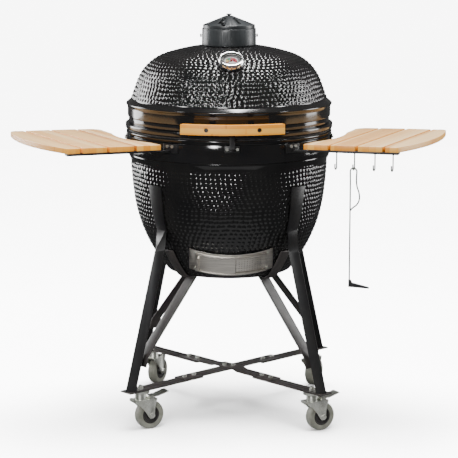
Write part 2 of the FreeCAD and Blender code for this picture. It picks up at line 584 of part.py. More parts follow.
def make_leg(name, sign_x, sign_y):
    """Square tube below, a flat cradle strap above, and a swaged neck that joins them."""
    top = value("tube_top_z")
    outer = tube("tube_" + name, sign_x, sign_y, 0, top)
    hollow = tube("hollow_" + name, sign_x, sign_y, value("leg_wall"), top - 4)
    outward = Vector(sign_x, sign_y, 0).normalize()
    sideways = Z_AXIS.cross(outward)
    neck_top, half = 592.0, value("leg_size") / 2 * math.sqrt(2)
    standoff = 0.8 + value("leg_strap_thickness") / 2
    strap_r = belly_point(neck_top, standoff)[0]
    centre = outward * (leg_spread(top) * math.sqrt(2)) + Z_AXIS * top
    lower = [centre - sideways * half, centre - outward * half, centre + sideways * half,
             centre + outward * half]
    inner = outward * (strap_r - 2.3) + Z_AXIS * neck_top
    outside = outward * (strap_r + 2.3) + Z_AXIS * neck_top
    upper = [outside - sideways * 19, inner - sideways * 19, inner + sideways * 19,
             outside + sideways * 19]
    neck = doc.addObject("Part::Feature", "neck_" + name)
    neck.Shape = Part.makeLoft([Part.makePolygon(ring + ring[:1]) for ring in (lower, upper)], True, True)
    neck.Placement = cart_place
    route = [belly_point(z, standoff) for z in (586, 614, 642, 668)]
    waist = pot_curves(-standoff)
    route += [(waist[3][0], waist[3][1])]
    plane = radial_plane(sign_x, sign_y, 52)
    full_strap = plate("full_strap_" + name, strip(route, value("leg_strap_thickness")), 52, plane)
    taper_place = cart_place.multiply(frame(sideways, Z_AXIS, outward * 200))
    taper = plate("strap_taper_" + name, [(-19, 580), (19, 580), (26, 735), (-26, 735)], 120, taper_place)
    strap = doc.addObject("Part::Common", "strap_" + name)
    strap.Base = full_strap
    strap.Tool = taper
    return fuse("leg_" + name, [cut("leg_tube_" + name, outer, [hollow]), neck, strap])


def make_brace(name, sign_x, sign_y):
    """A flat bar from the leg's top, round under the pot and back out along the foot of the leg."""
    standoff = 1.2 + value("brace_thickness") / 2
    route = [belly_point(z, standoff) for z in (528, 506, 484, 464, 449)]
    corner_reach = value("leg_size") / 2 * math.sqrt(2) + value("brace_thickness") / 2 + 0.4
    foot = [(leg_spread(z) * math.sqrt(2) - corner_reach, z) for z in (214, 190)]
    route += [(178, 437.2), (150, 437.2), (foot[0][0] - 4, 224)] + foot
    plane = radial_plane(sign_x, sign_y, value("brace_width"))
    return plate("brace_" + name, strip(route, value("brace_thickness")), "brace_width", plane)


legs = [make_leg(name, x, y) for name, (x, y) in CORNERS.items()]
leg_braces = group("leg_braces", [make_brace(name, x, y) for name, (x, y) in CORNERS.items()])

castor_r = value("castor_spread") * math.sqrt(2)
cross_solids, bolt_solids = [], []


def hex_piece(label, across_corners, height, at):
    item = doc.addObject("Part::Prism", label)
    item.Polygon = 6
    item.Circumradius = across_corners / 2
    item.Height = height
    item.Placement = at
    return item


for name, (sign_x, sign_y) in CORNERS.items():
    plane = radial_plane(sign_x, sign_y, value("cross_width"))
    arm_line = [(128, 121.8), (417, 121.8)]
    arm = plate("cross_arm_body_" + name, strip(arm_line, value("cross_thickness")), "cross_width", plane)
    spot = cart_place.multVec(Vector(sign_x, sign_y, 0).normalize() * castor_r)
    stem_hole = rod("arm_hole_" + name, "stem_hole", 20, spot + Z_AXIS * 112)
    cross_solids.append(cut("cross_arm_" + name, arm, [stem_hole]))
    for number, reach in enumerate((146, 184), 1):
        place = cart_place.multVec(Vector(sign_x, sign_y, 0).normalize() * reach)
        bolt_solids.append(hex_piece("arm_bolt_%s_%d" % (name, number), 14, 5,
                                     Placement(place + Z_AXIS * 128.6, Rotation())))
        bolt_solids.append(hex_piece("arm_nut_%s_%d" % (name, number), 14, 6,
                                     Placement(place + Z_AXIS * 113.6, Rotation())))
long_plane = radial_plane(1, 1, value("cross_width"))
other_plane = radial_plane(1, -1, value("cross_width"))
flat_line = [(-204, 126.3), (204, 126.3)]
raised_line = [(-204, 126.3), (-58, 126.3), (-42, 130.8), (42, 130.8), (58, 126.3), (204, 126.3)]
cross_solids.append(plate("cross_flat", strip(flat_line, value("cross_thickness")),
                          "cross_width", long_plane))
cross_solids.append(plate("cross_raised", strip(raised_line, value("cross_thickness")),
                          "cross_width", other_plane))
cross_bars = group("cross_bars", cross_solids)
for number, x in enumerate((-13, 13), 1):
    bolt_solids.append(hex_piece("centre_bolt_%d" % number, 14, 5,
                                 Placement(cart_place.multVec(Vector(x, 0, 133.2)), Rotation())))

# ---------------------------------------------------------------- castors

CASTOR_TURN = {"front": -61.7, "back": -29.7}
forks, tyres, hubs, brakes, stem_solids = [], [], [], [], []


def make_castor(name, sign_x, sign_y):
    """A swivel fork on a stem, with a rubber tyre on a plastic hub."""
    swivel = cart_place.multVec(Vector(sign_x, sign_y, 0) * value("castor_spread"))
    place = Placement(swivel, Rotation(Z_AXIS, CASTOR_TURN[name.split("_")[0]]))
    trail, axle_z = value("castor_trail"), value("wheel_radius")
    across_fork = place.multiply(frame(Y_AXIS, Z_AXIS))
    cheek = [(-27, 93), (-26, 85), (-8, 73), (8, 54), (trail - 10, 38), (trail - 5, 33), (trail + 5, 33),
             (trail + 9, 38), (trail + 10, 60), (41, 76), (46, 90), (46, 93), (33, 93), (31, 102),
             (22, 102), (20, 93)]
    solids = [plate("cheek_%s_%d" % (name, number), cheek, 2.5,
                    across_fork.multiply(Placement(Vector(0, 0, x), Rotation())))
              for number, x in enumerate((-20, 17.5), 1)]
    solids.append(block("fork_crown_" + name, (-20, -27, 90), (20, 46, 93), place))
    solids.append(rod("fork_race_" + name, 17, 20.5, swivel + Z_AXIS * 91))
    axle_line = place.Rotation.multVec(X_AXIS)
    axle_at = place.multVec(Vector(0, trail, axle_z))
    solids.append(rod("axle_" + name, "axle_radius", 50, axle_at - axle_line * 25, axle_line))
    for number, x in enumerate((-25, 20), 1):
        solids.append(rod("axle_nut_%s_%d" % (name, number), 7.5, 5, axle_at + axle_line * x, axle_line))
    if name.startswith("front"):
        pin_at = place.multVec(Vector(0, 26, 98))
        solids.append(rod("brake_pin_" + name, 2.5, 36, pin_at - axle_line * 18, axle_line))
        tread = plate("brake_tread_" + name, strip([(26, 98), (50, 99), (86, 109)], 3), 33,
                      across_fork.multiply(Placement(Vector(0, 0, -16.5), Rotation())))
        eye = rod("brake_eye_" + name, 4.6, 33, pin_at - axle_line * 16.5, axle_line)
        bore = rod("brake_bore_" + name, 2.56, 40, pin_at - axle_line * 20, axle_line)
        brakes.append(cut("brake_pedal_" + name, fuse("brake_body_" + name, [tread, eye]), [bore]))
    bore = rod("race_bore_" + name, "stem_hole", 20, swivel + Z_AXIS * 93)
    forks.append(cut("castor_fork_" + name, fuse("fork_body_" + name, solids), [bore]))
    wheel_place = place.multiply(frame(Y_AXIS, Z_AXIS, Vector(0, trail, axle_z)))
    half = value("tyre_width") / 2
    tyres.append(turned("castor_tyre_" + name,
                        [("hub_radius", -half + 1), (37, -half), ("wheel_radius", -half + 5),
                         ("wheel_radius", half - 5), (37, half), ("hub_radius", half - 1)],
                        {1: (41.4, -half + 1.6), 3: (41.4, half - 1.6)}, wheel_place))
    hubs.append(turned("castor_hub_" + name,
                       [("axle_hole", -15), (11, -15), (14, -9), (22, -9), (24, -13), (26.9, -13),
                        (26.9, 13), (24, 13), (22, 9), (14, 9), (11, 15), ("axle_hole", 15)],
                       None, wheel_place))
    stem_solids.append(fuse("stem_" + name, [
        rod("stem_rod_" + name, "stem_radius", 42, swivel + Z_AXIS * 93.4),
        rod("stem_plate_" + name, 27, 7, swivel + Z_AXIS * 112.4)]))
    stem_nut = hex_piece("stem_nut_body_" + name, 17, 7, Placement(swivel + Z_AXIS * 124.2, Rotation()))
    nut_bore = rod("nut_bore_" + name, "stem_hole", 12, swivel + Z_AXIS * 122)
    stem_solids.append(cut("stem_nut_" + name, stem_nut, [nut_bore]))


for name, (sign_x, sign_y) in CORNERS.items():
    make_castor(name, sign_x, sign_y)
castor_stems = group("castor_stems", stem_solids)

# ---------------------------------------------------------------- side tables

FOLD_AZIMUTH = 64.3
GAPS = (394, 472, 549)
FRONT_PIVOT, BACK_PIVOT = -160.4, 117.3
FRONT_EDGE = [(203, -315), (465, -393)]
slat_bottom = value("table_top") - value("slat_thickness")
arm_bottom = slat_bottom - value("arm_thickness") - 0.1
bracket_solids, slat_nodes, arm_nodes = [], [], []


def mirror(points, sign):
    return [(sign * x, y) for x, y in points]


def make_table(side, sign):
    """Slats on two folding arms, hinged to brackets on the pot's band."""
    outward = polar(1, sign * FOLD_AZIMUTH)
    along = Z_AXIS.cross(outward)
    place = frame(outward, along)
    fold_n, fold_z = value("fold_distance"), value("fold_z")
    outline = mirror([FRONT_EDGE[0], FRONT_EDGE[1], (658, -5), (636, 14), (430, 58), (381, 22),
                      (351, -52), (232, -269)], sign)
    bends = dict(zip((1, 2, 3, 4, 6), mirror([(597, -197), (654, 10), (536, 41), (399, 51),
                                              (315, -164)], sign)))
    board = plate("board_" + side, outline, "slat_thickness",
                  Placement(Z_AXIS * slat_bottom, Rotation()), bends)
    gaps = [block("gap_%s_%d" % (side, number), (middle - 3.5, -420, slat_bottom - 5),
                  (middle + 3.5, 420, slat_bottom + 30), place) for number, middle in enumerate(GAPS, 1)]
    slat_nodes.append(cut("table_slats_" + side, board, gaps))

    arms = []
    for end, pivot, reach, tip in (("front", FRONT_PIVOT, -1, (588, -137)),
                                   ("back", BACK_PIVOT, 1, (575, 250))):
        knuckle_mid = pivot + reach * 8
        root = (fold_n - 5, knuckle_mid + (-8 if end == "front" else 3))
        bar_line = [(root[0], sign * root[1]), (tip[0], sign * tip[1])]
        bar = plate("arm_bar_%s_%s" % (end, side), strip(bar_line, 30), "arm_thickness",
                    place.multiply(Placement(Z_AXIS * arm_bottom, Rotation())))
        start = place.multVec(Vector(fold_n, sign * (pivot + reach * 0.3), fold_z))
        direction = along * (sign * reach)
        knuckle = rod("arm_knuckle_%s_%s" % (end, side), "knuckle_radius", 15, start, direction)
        bore = rod("arm_bore_%s_%s" % (end, side), "fold_hole_radius", 40, start - direction * 20, direction)
        near_side, far_side = sorted((sign * (pivot - reach * 22), sign * (pivot + reach * 0.3)))
        notch = block("arm_notch_%s_%s" % (end, side), (fold_n - 12, near_side, fold_z - 8),
                      (fold_n + 7, far_side, slat_bottom), place)
        arms.append(cut("arm_%s_%s" % (end, side),
                        fuse("arm_body_%s_%s" % (end, side), [bar, knuckle]), [bore, notch]))

        base_start = place.multVec(Vector(fold_n, sign * (pivot - reach * 15.3), fold_z))
        base_knuckle = rod("base_knuckle_%s_%s" % (end, side), "knuckle_radius", 15, base_start, direction)
        pin = rod("fold_pin_%s_%s" % (end, side), "fold_pin_radius", 34, base_start, direction)
        near = 274 if end == "front" else 292
        first, second = sorted((sign * (pivot - reach * 15.3), sign * (pivot - reach * 0.3)))
        tab = block("bracket_tab_%s_%s" % (end, side), (near, first, fold_z - 6),
                    (fold_n, second, fold_z), place)
        azimuth = sign * (FOLD_AZIMUTH + math.degrees(math.asin((pivot - reach * 7.8) / 310)))
        flange = sector("bracket_flange_%s_%s" % (end, side), 307.4, 311.4, azimuth - 4.6, azimuth + 4.6,
                        829, 27)
        bracket_solids.append(fuse("table_bracket_%s_%s" % (end, side), [base_knuckle, pin, tab, flange]))
        for number, offset in enumerate((-1.5, 1.5), 1):
            spot = polar(311.4, azimuth + offset, 849)
            bolt_solids.append(rod("bracket_bolt_%s_%s_%d" % (end, side, number), 4.5, 4, spot,
                                   polar(1, azimuth + offset)))
    arm_nodes.append(group("table_arms_" + side, arms))


for side, sign in (("left", -1), ("right", 1)):
    make_table(side, sign)
table_brackets = group("table_brackets", bracket_solids)

# Hooks and the ash tool hang from the right table's front arm.
HOOK_SPOTS = (94, 146, 205, 257)
HOOK_LOW, HOOK_REACH = 792, 14
fold_line = Z_AXIS.cross(polar(1, FOLD_AZIMUTH))
edge_start = Vector(*FRONT_EDGE[0], 0)
edge_line = (Vector(*FRONT_EDGE[1], 0) - edge_start).normalize()
edge_inward = Z_AXIS.cross(edge_line)
hook_solids, hook_tops = [], []
for number, reach in enumerate(HOOK_SPOTS, 1):
    top = edge_start + edge_line * reach + edge_inward * 18
    hook_tops.append(top)
    tip = top - fold_line * HOOK_REACH
    hook_solids.append(bent_wire("hook_%d" % number, [
        top + Z_AXIS * (arm_bottom - 0.1), top + Z_AXIS * HOOK_LOW, tip + Z_AXIS * HOOK_LOW,
        tip + Z_AXIS * (HOOK_LOW + 16)], 6.5, 2))
hooks = group("hooks", hook_solids)

tool_hang = hook_tops[1] - fold_line * (HOOK_REACH / 2) + Z_AXIS * HOOK_LOW
TOOL_WIRE, EYE_RADIUS = 2.25, 10
eye_centre = tool_hang - Z_AXIS * (EYE_RADIUS - TOOL_WIRE - 2 - 0.6)
tool_eye = doc.addObject("Part::Torus", "tool_eye")
tool_eye.Radius1 = EYE_RADIUS
tool_eye.Radius2 = TOOL_WIRE
tool_eye.Placement = Placement(eye_centre, Rotation(Z_AXIS, fold_line))
tool_rod = rod("tool_rod", TOOL_WIRE, eye_centre.z - EYE_RADIUS - 462,
               Vector(eye_centre.x, eye_centre.y, 462))
blade_place = frame(polar(1, FOLD_AZIMUTH + 12), Z_AXIS.cross(polar(1, FOLD_AZIMUTH + 12)),
                    Vector(eye_centre.x, eye_centre.y, 0))
tool_blade = plate("tool_blade", [(-6, 472), (4, 472), (7, 464), (52, 455), (52, 450), (-6, 450)], 3,
                   blade_place.multiply(frame(X_AXIS, Z_AXIS, Vector(0, 1.5, 0))))
ash_tool = fuse("ash_tool", [tool_eye, tool_rod, tool_blade])

# ---------------------------------------------------------------- fasteners of the fixed body

for number, x in enumerate((-15, 15), 1):
    bolt_solids.append(rod("catch_screw_%d" % number, 4.5, 3, Vector(x, -312.6, 847), -Y_AXIS))
for number, (angle, z) in enumerate(((-23.3, -28), (-23.3, 35), (23.3, -28), (23.3, 35)), 1):
    spot = door_place.multVec(polar(DOOR_RADIUS + 2, angle, z))
    bolt_solids.append(rod("door_rivet_%d" % number, 4, 2, spot,
                           door_place.Rotation.multVec(polar(1, angle))))
frame_bolts = group("frame_bolts", bolt_solids)

# ---------------------------------------------------------------- checking and writing

NODES = [dome_lid, base_pot, lid_band, base_band, lid_gasket, base_gasket, vent_collar, vent_grate,
         vent_cap, vent_pivot, lid_screws, thermometer_bezel, thermometer_case, thermometer_dial,
         thermometer_needle, thermometer_lens, handle_grip, handle_brackets, latch_strap, latch_catch,
         hinge_lid_bracket, hinge_base_bracket, hinge_pin, hinge_springs, ash_door_frame,
         ash_door_panel, ash_door_screen, fire_box, fire_ring, charcoal_grate, cooking_grate,
         leg_braces, cross_bars, frame_bolts, castor_stems, table_brackets, hooks, ash_tool]
NODES += legs + forks + tyres + hubs + brakes + slat_nodes + arm_nodes

doc.recompute()
faults = [item.Label for item in doc.Objects if {"Invalid", "Error"} & set(item.State)]
faults += [item.Label + " shape" for item in NODES if item.Shape.isNull() or not item.Shape.isValid()]
faults += [item.Label + " has no solid" for item in NODES if not item.Shape.Solids]
if faults:
    raise SystemExit("Not written, faulty: " + ", ".join(faults))

os.makedirs("parts", exist_ok=True)
for item in NODES:
    item.Shape.exportStep("parts/%s.step" % item.Label)
print("wrote %d sub-parts" % len(NODES))
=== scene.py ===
import json
import math

import bmesh
import bpy
import numpy as np
from mathutils import Matrix, Vector


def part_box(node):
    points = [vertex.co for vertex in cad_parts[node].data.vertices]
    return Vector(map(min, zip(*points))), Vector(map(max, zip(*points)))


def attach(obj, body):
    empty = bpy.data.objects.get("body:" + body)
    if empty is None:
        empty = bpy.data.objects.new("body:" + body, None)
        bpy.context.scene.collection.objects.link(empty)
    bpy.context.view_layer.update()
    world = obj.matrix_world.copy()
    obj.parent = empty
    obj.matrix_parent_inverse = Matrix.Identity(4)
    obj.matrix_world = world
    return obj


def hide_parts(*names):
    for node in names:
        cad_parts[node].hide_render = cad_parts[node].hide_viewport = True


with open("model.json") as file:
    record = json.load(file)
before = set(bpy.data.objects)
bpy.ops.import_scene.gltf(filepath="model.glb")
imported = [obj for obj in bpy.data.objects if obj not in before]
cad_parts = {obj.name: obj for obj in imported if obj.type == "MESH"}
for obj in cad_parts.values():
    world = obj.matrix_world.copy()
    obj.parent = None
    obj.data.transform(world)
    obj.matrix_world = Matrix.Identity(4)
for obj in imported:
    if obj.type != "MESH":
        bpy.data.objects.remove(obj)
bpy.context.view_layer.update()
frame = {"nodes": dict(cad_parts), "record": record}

# Looks for a kamado grill. Metres, +Z up, -Y the front. The pot's axis is the Z axis.
CORNERS = ("front_left", "front_right", "back_left", "back_right")
SIDES = ("left", "right")
TABLE_ANGLE = math.radians(64.3)


def span(node):
    """A node's lowest and highest corners at rest."""
    low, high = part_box(node)
    return Vector(low), Vector(high)


# ------------------------------------------------------------------ camera and lights

def place_camera():
    camera = bpy.data.objects.new("camera", bpy.data.cameras.new("camera"))
    bpy.context.collection.objects.link(camera)
    camera.location = (-0.1632, -5.4976, 1.5517)
    camera.rotation_euler = (math.radians(90 - 10.22), 0, math.radians(-1.7))
    camera.data.lens = 143.9
    camera.data.sensor_width = 36
    bpy.context.scene.camera = camera


def softbox(name, position, target, size, power):
    light = bpy.data.lights.new(name, "AREA")
    light.shape = "RECTANGLE"
    light.size, light.size_y = size
    light.energy = power
    lamp = bpy.data.objects.new(name, light)
    lamp.location = position
    aim = Vector(target) - Vector(position)
    lamp.rotation_euler = aim.to_track_quat("-Z", "Y").to_euler()
    bpy.context.collection.objects.link(lamp)


def light_studio():
    """Two tall softboxes behind the sides, small lights that make the glints, and one overhead."""
    softbox("left_box", (-2.35, 1.55, 1.25), (0, 0, 0.85), (1.15, 2.3), 95)
    softbox("right_box", (2.85, 0.55, 1.25), (0, 0, 0.85), (0.95, 2.3), 70)
    softbox("front", (-1.35, -4.2, 1.9), (0, 0, 0.8), (0.55, 0.55), 125)
    softbox("front_high", (-0.5, -2.6, 3.2), (0, 0, 0.9), (0.5, 0.5), 45)
    softbox("left_high", (-2.2, -1.2, 2.8), (0, 0, 0.9), (0.4, 0.4), 22)
    softbox("right_high", (2.2, -1.0, 2.6), (0, 0, 0.9), (0.4, 0.4), 22)
    softbox("overhead", (0.2, 0.2, 3.4), (0, 0, 0.5), (0.8, 0.8), 110)
    world = bpy.data.worlds.new("studio")
    bpy.context.scene.world = world
    world.use_nodes = True
    background = world.node_tree.nodes["Background"]
    background.inputs["Color"].default_value = (1.0, 1.0, 1.0, 1)
    background.inputs["Strength"].default_value = 8.0
    world.cycles_visibility.diffuse = False
    world.cycles_visibility.glossy = False
    world.cycles_visibility.transmission = False
    world.cycles_visibility.scatter = False


# ------------------------------------------------------------------ materials

class Shader:
    """Builds one procedural material, a node at a time."""

    def __init__(self, name, **constants):
        self.material = bpy.data.materials.new(name)
        self.material.use_nodes = True
        self.tree = self.material.node_tree
        self.surface = self.tree.nodes["Principled BSDF"]
        for socket, setting in constants.items():
            self.surface.inputs[socket.replace("_", " ")].default_value = setting
        self.place = self.add("ShaderNodeTexCoord").outputs["Object"]

    def add(self, kind, **links):
        node = self.tree.nodes.new(kind)
        for socket, source in links.items():
            self.feed(node.inputs[socket.replace("_", " ")], source)
        return node

    def feed(self, socket, source):
        if isinstance(source, bpy.types.NodeSocket):
            self.tree.links.new(source, socket)
        else:
            socket.default_value = source

    def math(self, operation, first, second=0.0):
        node = self.tree.nodes.new("ShaderNodeMath")
        node.operation = operation
        self.feed(node.inputs[0], first)
        self.feed(node.inputs[1], second)
        return node.outputs[0]

    def noise(self, scale, detail=3.0, vector=None):
        node = self.add("ShaderNodeTexNoise", Scale=scale, Detail=detail)
        self.feed(node.inputs["Vector"], vector or self.place)
        return node.outputs["Fac"]

    def stretched(self, scale, turn=0.0):
        """The object's coordinates, turned about Z and then scaled unevenly."""
        turned = self.add("ShaderNodeVectorRotate", Vector=self.place, Angle=turn)
        node = self.add("ShaderNodeVectorMath")
        node.operation = "MULTIPLY"
        self.feed(node.inputs[0], turned.outputs[0])
        node.inputs[1].default_value = scale
        return node.outputs[0]

    def ramp(self, factor, stops):
        node = self.add("ShaderNodeValToRGB", Fac=factor)
        while len(node.color_ramp.elements) < len(stops):
            node.color_ramp.elements.new(0.5)
        for element, (position, colour) in zip(node.color_ramp.elements, stops):
            element.position = position
            element.color = (*colour, 1)
        return node.outputs["Color"]

    def to_range(self, factor, low, high):
        node = self.add("ShaderNodeMapRange", Value=factor)
        node.inputs["To Min"].default_value = low
        node.inputs["To Max"].default_value = high
        return node.outputs["Result"]

    def colour(self, source):
        self.feed(self.surface.inputs["Base Color"], source)

    def roughness(self, factor, low, high):
        self.feed(self.surface.inputs["Roughness"], self.to_range(factor, low, high))

    def bump(self, height, distance, strength=1.0):
        node = self.add("ShaderNodeBump", Height=height, Distance=distance, Strength=strength)
        self.feed(self.surface.inputs["Normal"], node.outputs["Normal"])


def black_glaze():
    shade = Shader("black_glaze", IOR=1.55)
    cloud = shade.noise(9.0)
    shade.colour(shade.ramp(cloud, [(0.3, (0.004, 0.004, 0.0045)), (0.7, (0.011, 0.0105, 0.010))]))
    shade.roughness(shade.noise(34.0), 0.07, 0.19)
    shade.bump(shade.noise(420.0), 0.0001, 0.25)
    return shade.material


def black_paint(name, low, high, rough, shine=0.5):
    """Satin powder coat: fine orange peel, and slightly paler wear in patches."""
    shade = Shader(name, Specular_IOR_Level=shine)
    cloud = shade.noise(14.0, 5.0)
    shade.colour(shade.ramp(cloud, [(0.35, low), (0.72, high)]))
    shade.roughness(shade.noise(60.0), rough * 0.8, rough * 1.25)
    shade.bump(shade.noise(900.0, 2.0), 0.00012, 0.5)
    return shade.material


def bamboo(name, turn, across, width, tones):
    """Glued strips along one direction, each its own tone, with fibres and knuckle marks."""
    shade = Shader(name, Coat_Weight=0.12, Coat_Roughness=0.3)
    along = shade.stretched((1.0, 1.0, 1.0), turn)
    parts = shade.add("ShaderNodeSeparateXYZ", Vector=along)
    strip = shade.math("FLOOR", shade.math("DIVIDE", parts.outputs[across], width))
    tone = shade.add("ShaderNodeTexWhiteNoise")
    tone.noise_dimensions = "1D"
    shade.feed(tone.inputs["W"], strip)
    seam = shade.math("FRACT", shade.math("DIVIDE", parts.outputs[across], width))
    seam_line = shade.math("LESS_THAN", seam, 0.045)
    fibre = shade.noise(1.0, 4.0, shade.stretched((9.0, 620.0, 620.0), turn))
    cloud = shade.noise(1.0, 3.0, shade.stretched((5.0, 40.0, 40.0), turn))
    shift = shade.math("MULTIPLY", tone.outputs["Value"], 0.9)
    knuckle = shade.math("FRACT", shade.math("ADD", shade.math("DIVIDE", parts.outputs["X"], 0.23), shift))
    knuckle_line = shade.math("LESS_THAN", knuckle, 0.016)
    mix = shade.math("MULTIPLY", tone.outputs["Value"], 0.42)
    mix = shade.math("ADD", mix, shade.math("MULTIPLY", fibre, 0.33))
    mix = shade.math("ADD", mix, shade.math("MULTIPLY", cloud, 0.30))
    mix = shade.math("SUBTRACT", mix, shade.math("MULTIPLY", seam_line, 0.16))
    mix = shade.math("SUBTRACT", mix, shade.math("MULTIPLY", knuckle_line, 0.22))
    shade.colour(shade.ramp(mix, list(zip((0.12, 0.36, 0.58, 0.85), tones))))
    shade.roughness(fibre, 0.36, 0.56)
    shade.bump(shade.math("SUBTRACT", fibre, shade.math("MULTIPLY", seam_line, 0.8)), 0.00025, 0.5)
    return shade.material


def brushed(name, colour, scale, rough, turn=0.0):
    """Metal with fine scratches drawn along one direction."""
    shade = Shader(name, Metallic=1.0)
    scratch = shade.noise(1.0, 3.0, shade.stretched(scale, turn))
    pale = tuple(min(1.0, part * 1.25) for part in colour)
    dark = tuple(part * 0.72 for part in colour)
    shade.colour(shade.ramp(scratch, [(0.3, dark), (0.7, pale)]))
    shade.roughness(scratch, rough - 0.08, rough + 0.12)
    shade.bump(scratch, 0.00008, 0.5)
    return shade.material


def zinc_plate():
    """Bright zinc with a faint olive passivation and cloudy spangle."""
    shade = Shader("zinc_plate", Metallic=0.92)
    spangle = shade.add("ShaderNodeTexVoronoi", Scale=260.0, Vector=shade.place)
    cloud = shade.noise(40.0, 4.0)
    mix = shade.math("ADD", shade.math("MULTIPLY", spangle.outputs["Distance"], 0.3),
                     shade.math("MULTIPLY", cloud, 0.8))
    shade.colour(shade.ramp(mix, [(0.3, (0.44, 0.45, 0.38)), (0.75, (0.78, 0.79, 0.74))]))
    shade.roughness(cloud, 0.22, 0.42)
    shade.bump(cloud, 0.0001, 0.3)
    return shade.material


def plain_noise(name, dark, pale, scale, rough, depth, **constants):
    shade = Shader(name, **constants)
    grain = shade.noise(scale, 5.0)
    shade.colour(shade.ramp(grain, [(0.3, dark), (0.7, pale)]))
    shade.roughness(grain, rough - 0.06, rough + 0.08)
    shade.bump(grain, depth, 0.6)
    return shade.material


place_camera()
light_studio()
GLAZE = black_glaze()
PAINT = black_paint("satin_black_paint", (0.010, 0.010, 0.011), (0.017, 0.0165, 0.016), 0.38, 0.35)
BAR_PAINT = black_paint("bar_paint", (0.030, 0.026, 0.025), (0.052, 0.046, 0.043), 0.44)
BAND = black_paint("band_paint", (0.008, 0.008, 0.009), (0.011, 0.0105, 0.010), 0.09)
IRON = black_paint("vent_enamel", (0.014, 0.016, 0.017), (0.034, 0.038, 0.040), 0.36)
ZINC = zinc_plate()
STEEL = brushed("brushed_steel", (0.62, 0.59, 0.54), (14.0, 14.0, 900.0), 0.30)
GRATE = brushed("grate_steel", (0.58, 0.57, 0.55), (60.0, 60.0, 60.0), 0.28)
CHROME = plain_noise("chrome", (0.80, 0.80, 0.80), (0.92, 0.92, 0.91), 30.0, 0.10, 0.00002, Metallic=1.0)
TYRE = plain_noise("grey_rubber", (0.16, 0.162, 0.132), (0.25, 0.252, 0.21), 55.0, 0.62, 0.0002)
PLASTIC = plain_noise("hub_plastic", (0.016, 0.015, 0.014), (0.032, 0.030, 0.028), 90.0, 0.48, 0.0001)
FELT = plain_noise("black_felt", (0.012, 0.012, 0.012), (0.035, 0.034, 0.033), 700.0, 0.92, 0.0005,
                   Sheen_Weight=0.3)
CLAY = plain_noise("fire_clay", (0.40, 0.31, 0.23), (0.60, 0.50, 0.40), 45.0, 0.86, 0.0006)
COAL_IRON = plain_noise("grate_iron", (0.03, 0.028, 0.026), (0.085, 0.08, 0.075), 160.0, 0.66, 0.0004,
                        Metallic=0.5)
NEEDLE = plain_noise("needle_enamel", (0.30, 0.01, 0.01), (0.42, 0.02, 0.02), 200.0, 0.4, 0.00002)
DARK_ZINC = plain_noise("blackened_screws", (0.02, 0.018, 0.016), (0.07, 0.065, 0.06), 120.0, 0.34, 0.00005,
                        Metallic=0.8)
FACE = plain_noise("dial_enamel", (0.80, 0.79, 0.76), (0.88, 0.87, 0.85), 60.0, 0.40, 0.00002)


def clear_glass():
    shade = Shader("clear_glass", Transmission_Weight=1.0, IOR=1.12)
    haze = shade.noise(80.0)
    shade.colour(shade.ramp(haze, [(0.3, (0.96, 0.97, 0.97)), (0.7, (1.0, 1.0, 1.0))]))
    shade.roughness(haze, 0.01, 0.04)
    return shade.material


def printed(name, colour):
    dark = tuple(part * 0.88 for part in colour)
    return plain_noise(name, dark, colour, 240.0, 0.42, 0.00001)


GLASS = clear_glass()
INK = {"black": printed("ink_black", (0.02, 0.02, 0.02)), "red": printed("ink_red", (0.52, 0.03, 0.05)),
       "green": printed("ink_green", (0.04, 0.26, 0.12)),
       "yellow": printed("ink_yellow", (0.80, 0.62, 0.22)),
       "grey": printed("ink_grey", (0.16, 0.155, 0.15))}
HONEY = ((0.60, 0.18, 0.010), (0.86, 0.33, 0.025), (0.96, 0.43, 0.050), (0.98, 0.54, 0.10))
# Painted light: paler, less saturated tones for the table tops, standing for the overhead light falling on
# them. The upright slat edges keep the handle's HONEY tones.
PAINTED_LIT_TOP_TONES = ((0.58, 0.26, 0.07), (0.84, 0.47, 0.18), (0.94, 0.61, 0.29), (0.97, 0.71, 0.40))
HANDLE_STRIP, SLAT_STRIP = 0.0145, 0.0195
BAMBOO_HANDLE = bamboo("bamboo_handle", 0.0, "Z", HANDLE_STRIP, HONEY)
SLAT_TURN = {"right": -TABLE_ANGLE, "left": TABLE_ANGLE - math.pi}
# The top copy with the paler tones is painted light on the table tops; the edge copy is the plain bamboo
# tone.
BAMBOO_PAINTED_LIT_TOP = {side: bamboo("bamboo_painted_lit_top_" + side, SLAT_TURN[side], "Y", SLAT_STRIP, PAINTED_LIT_TOP_TONES) for side in SIDES}
BAMBOO_EDGE = {side: bamboo("bamboo_edge_" + side, SLAT_TURN[side], "Y", SLAT_STRIP, HONEY) for side in SIDES}


# ------------------------------------------------------------------ ways to make a piece

def add_piece(name, mesh, material, body, *nodes):
    """Links a finished mesh, gives it a material, and rides it on a body in place of CAD nodes."""
    piece = bpy.data.objects.new(name, mesh)
    bpy.context.collection.objects.link(piece)
    mesh.materials.clear()
    mesh.materials.append(material)
    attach(piece, body)
    if nodes:
        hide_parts(*nodes)
    return piece


def smooth(mesh, degrees=35.0):
    mesh.shade_smooth()
    mesh.set_sharp_from_angle(angle=math.radians(degrees))


def evaluated(piece):
    """The piece's mesh with its modifiers applied, as a new mesh."""
    graph = bpy.context.evaluated_depsgraph_get()
    return bpy.data.meshes.new_from_object(piece.evaluated_get(graph))


